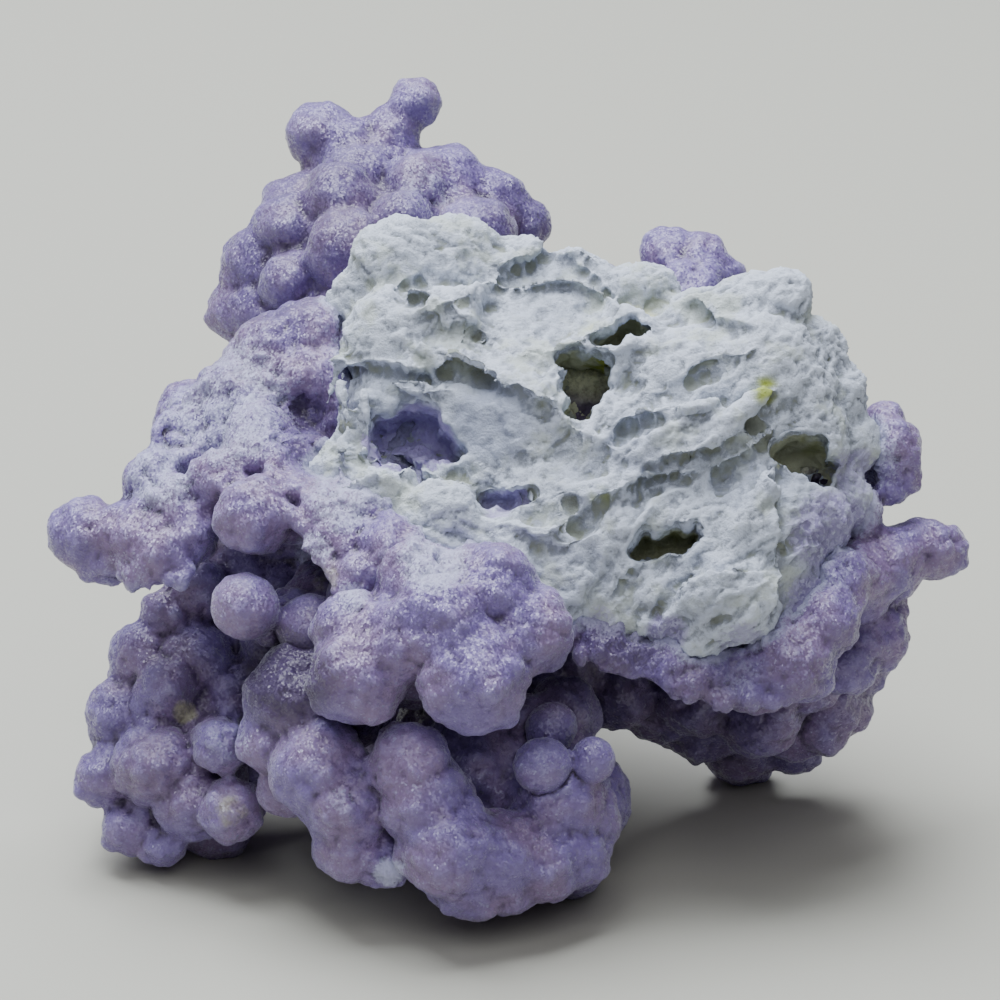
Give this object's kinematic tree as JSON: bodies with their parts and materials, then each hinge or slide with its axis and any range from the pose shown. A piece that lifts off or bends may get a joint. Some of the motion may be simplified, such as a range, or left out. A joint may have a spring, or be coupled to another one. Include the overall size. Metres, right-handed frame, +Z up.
{
  "type": "botryoidal chalcedony hand specimen",
  "caption": "Loose mineral specimen: purple grape-like chalcedony in fingers, knobs and feet under a white pitted host-rock crust.",
  "frame": {"origin": "centre of the specimen's box on the surface it rests on", "axes": "+Z up; +X to the right as the specimen is pictured, along its longest side; +Y away from the viewer"},
  "size_m": [0.0547, 0.0482, 0.0389],
  "materials": {
    "chalcedony": "sugary, frosted purple chalcedony, slightly translucent",
    "host_rock": "dull white, crumbly and fibrous altered host rock"
  },
  "bodies": {
    "root": {"chalcedony": "chalcedony", "host_rock_crust": "host_rock"}
  },
  "joints": []
}
